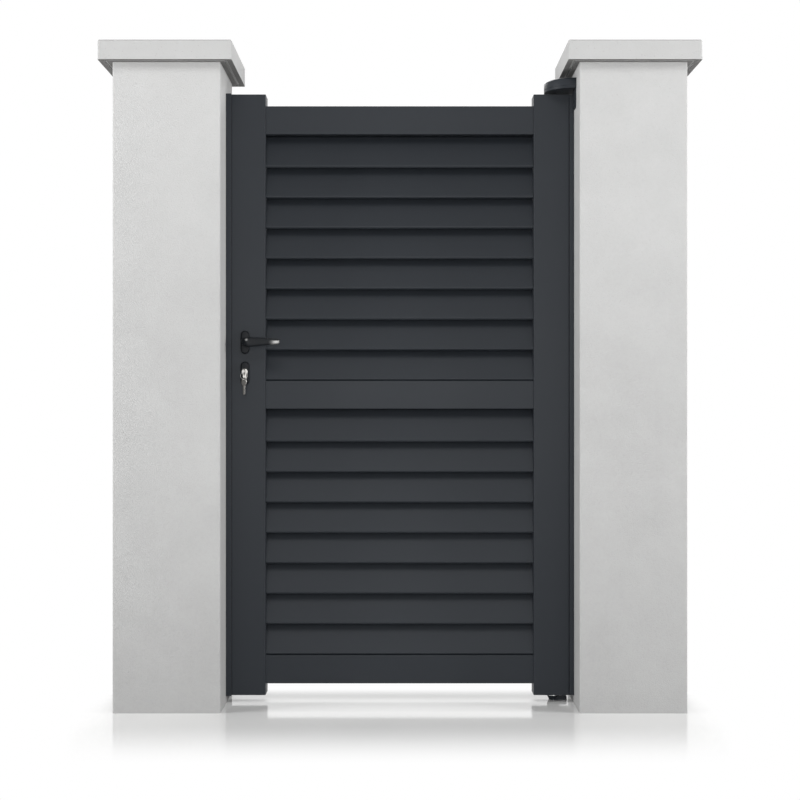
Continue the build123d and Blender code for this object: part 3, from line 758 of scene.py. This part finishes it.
wall_x = hinge_high.x
trim_front = strike_low.y
leg_back = trim_front + trim_depth
face_back = trim_front + trim_face
edge_x = wall_x - trim_width
free_edge = [
    (edge_x + trim_bevel, face_back),
    (edge_x, face_back - trim_bevel),
    (edge_x, trim_front + front_bevel),
    (edge_x + trim_bevel, trim_front),
]
leg = [
    (wall_x, trim_front),
    (wall_x, leg_back),
    (wall_x - trim_leg, leg_back),
    (wall_x - trim_leg, face_back),
]
trim_rings = angle_rings(leg + free_edge, (leaf_low.z, hinge_low.z - 0.001))
trim = skin("hinge_side_trim", trim_rings, "gate_coating", "posts", smooth=False)
print(trim.name, [round(c, 4) for c in trim.dimensions])

tongue_root = plate_face - 0.0002
tongue_corners = [(tongue_root, trim_front), (tongue_root, face_back)] + free_edge
tongue_rings = angle_rings(tongue_corners, (hinge_low.z - 0.0005, leaf_high.z))
tongue = skin("hinge_plate_tongue", tongue_rings, "gate_coating", "posts", smooth=False)
print(tongue.name, [round(c, 4) for c in tongue.dimensions])

# %% [markdown]
# ## Camera
# The photograph is taken straight on from the street, level with the middle of the leaf. The lens
# follows from the distance and from how many metres of the gate one pixel of the picture covers.

# %% Camera
FRAME_PIXELS = 800
LEAF_PIXEL = 0.00288
camera_distance, camera_height = 4.4, 0.872
sensor = 36.0
camera_data = bpy.data.cameras.new("street_camera")
camera_data.sensor_width = sensor
camera_data.lens = sensor * camera_distance / (FRAME_PIXELS * LEAF_PIXEL)
camera = bpy.data.objects.new("street_camera", camera_data)
camera.location = (0.0, -camera_distance, camera_height)
camera.rotation_euler = (np.pi / 2, 0.0, 0.0)
scene.collection.objects.link(camera)
scene.camera = camera
print("lens", round(camera_data.lens, 2))

# %% [markdown]
# ## White all round
# The background is pure white. A world that shone with that white would wash out the pale pillars,
# so the world is white only to rays that end in the picture, and lights the gate with far less.

# %% World
WHITE = (1.0, 1.0, 1.0)
sky_light = 0.34
scene.view_settings.view_transform = "Standard"
world = bpy.data.worlds.new("white_studio")
scene.world = world
world.use_nodes = True
sky = Net(world.node_tree)
sky.tree.nodes.remove(sky.tree.nodes["Background"])
soft = sky.node("Background", {}, {"Color": WHITE, "Strength": sky_light})
white = sky.node("Background", {}, {"Color": WHITE, "Strength": 1.0})
backdrop = sky.node("MixShader", {}, {0: sky.picture_rays(), 1: soft, 2: white})
sky.plug(sky.tree.nodes["World Output"].inputs["Surface"], backdrop)
print("world nodes", len(sky.tree.nodes))

# %% [markdown]
# ## The floor
# The floor is pale and polished, so it mirrors the foot of the gate. Only between the pillars and
# just before them does it show its own shade and mirror. Further out it fades to the white of the
# background, for rays that end in the picture, so no edge of the floor shows.

# %% Floor
floor_half = 30.0
shade_front, white_front = -0.30, -0.75
shade_back, white_back = 0.10, 0.22
shade_side, white_side = 0.80, 0.90
stone = Finish("polished_pale_floor", Specular_IOR_Level=0.9)
ripple = stone.noise(0.35, detail=2.0)
stone.set(
    Base_Color=stone.mix(ripple, (0.71, 0.71, 0.705), (0.76, 0.76, 0.755)), Roughness=0.06 + ripple * 0.05
)
front = 1 - stone.ramp(stone.axis("Y"), white_front, shade_front)
behind = stone.ramp(stone.axis("Y"), shade_back, white_back)
beside = stone.ramp(abs(stone.axis("X")), shade_side, white_side)
fade = (front + behind + beside).clamped() * stone.picture_rays()
glow = stone.node("Emission", {}, {"Color": WHITE, "Strength": 1.0})
lit = Wire(stone, stone.shader.outputs[0])
surface = stone.node("MixShader", {}, {0: fade, 1: lit, 2: glow})
stone.plug(stone.tree.nodes["Material Output"].inputs["Surface"], surface)
corners = [(x * floor_half, y * floor_half, 0.0) for x, y in ((-1, -1), (1, -1), (1, 1), (-1, 1))]
floor_mesh = bpy.data.meshes.new("studio_floor")
floor_mesh.from_pydata(corners, [], [(0, 1, 2, 3)])
floor_mesh.materials.append(stone.material)
floor = bpy.data.objects.new("studio_floor", floor_mesh)
scene.collection.objects.link(floor)
print("floor nodes", len(stone.tree.nodes))

# %% [markdown]
# ## Lamps
# Each lamp is a wide soft sheet of light, because a small one would draw hard bright lines along the
# slats. Two stand in the street and light the slats' faces, one from above and one level. A third
# behind the gate lights the floor and the tops, and two at the sides brighten the reveals. The
# camera sees none of them.

# %% Soft lamps
def soft_lamp(name, place, aim, width, height, power):
    """A rectangular lamp at a place that faces an aim point."""
    data = bpy.data.lights.new(name, "AREA")
    data.shape = "RECTANGLE"
    data.size = width
    data.size_y = height
    data.energy = power
    lamp = bpy.data.objects.new(name, data)
    lamp.location = place
    lamp.rotation_euler = (Vector(aim) - Vector(place)).to_track_quat("-Z", "Y").to_euler()
    lamp.visible_camera = False
    scene.collection.objects.link(lamp)
    print(name, power, "W")


soft_lamp("overhead_softbox", (0.0, -3.7, 3.9), (0.0, 0.0, 1.1), width=2.0, height=1.6, power=66.0)
soft_lamp("street_softbox", (0.0, -4.9, 1.15), (0.0, 0.0, 0.95), width=2.2, height=1.8, power=92.0)
soft_lamp("garden_softbox", (0.0, 3.4, 3.6), (0.0, 0.0, 1.0), width=3.2, height=1.6, power=140.0)
for side, name in ((-1, "left_softbox"), (1, "right_softbox")):
    soft_lamp(name, (side * 4.4, -1.3, 1.8), (0.0, 0.0, 0.9), width=1.6, height=2.2, power=170.0)
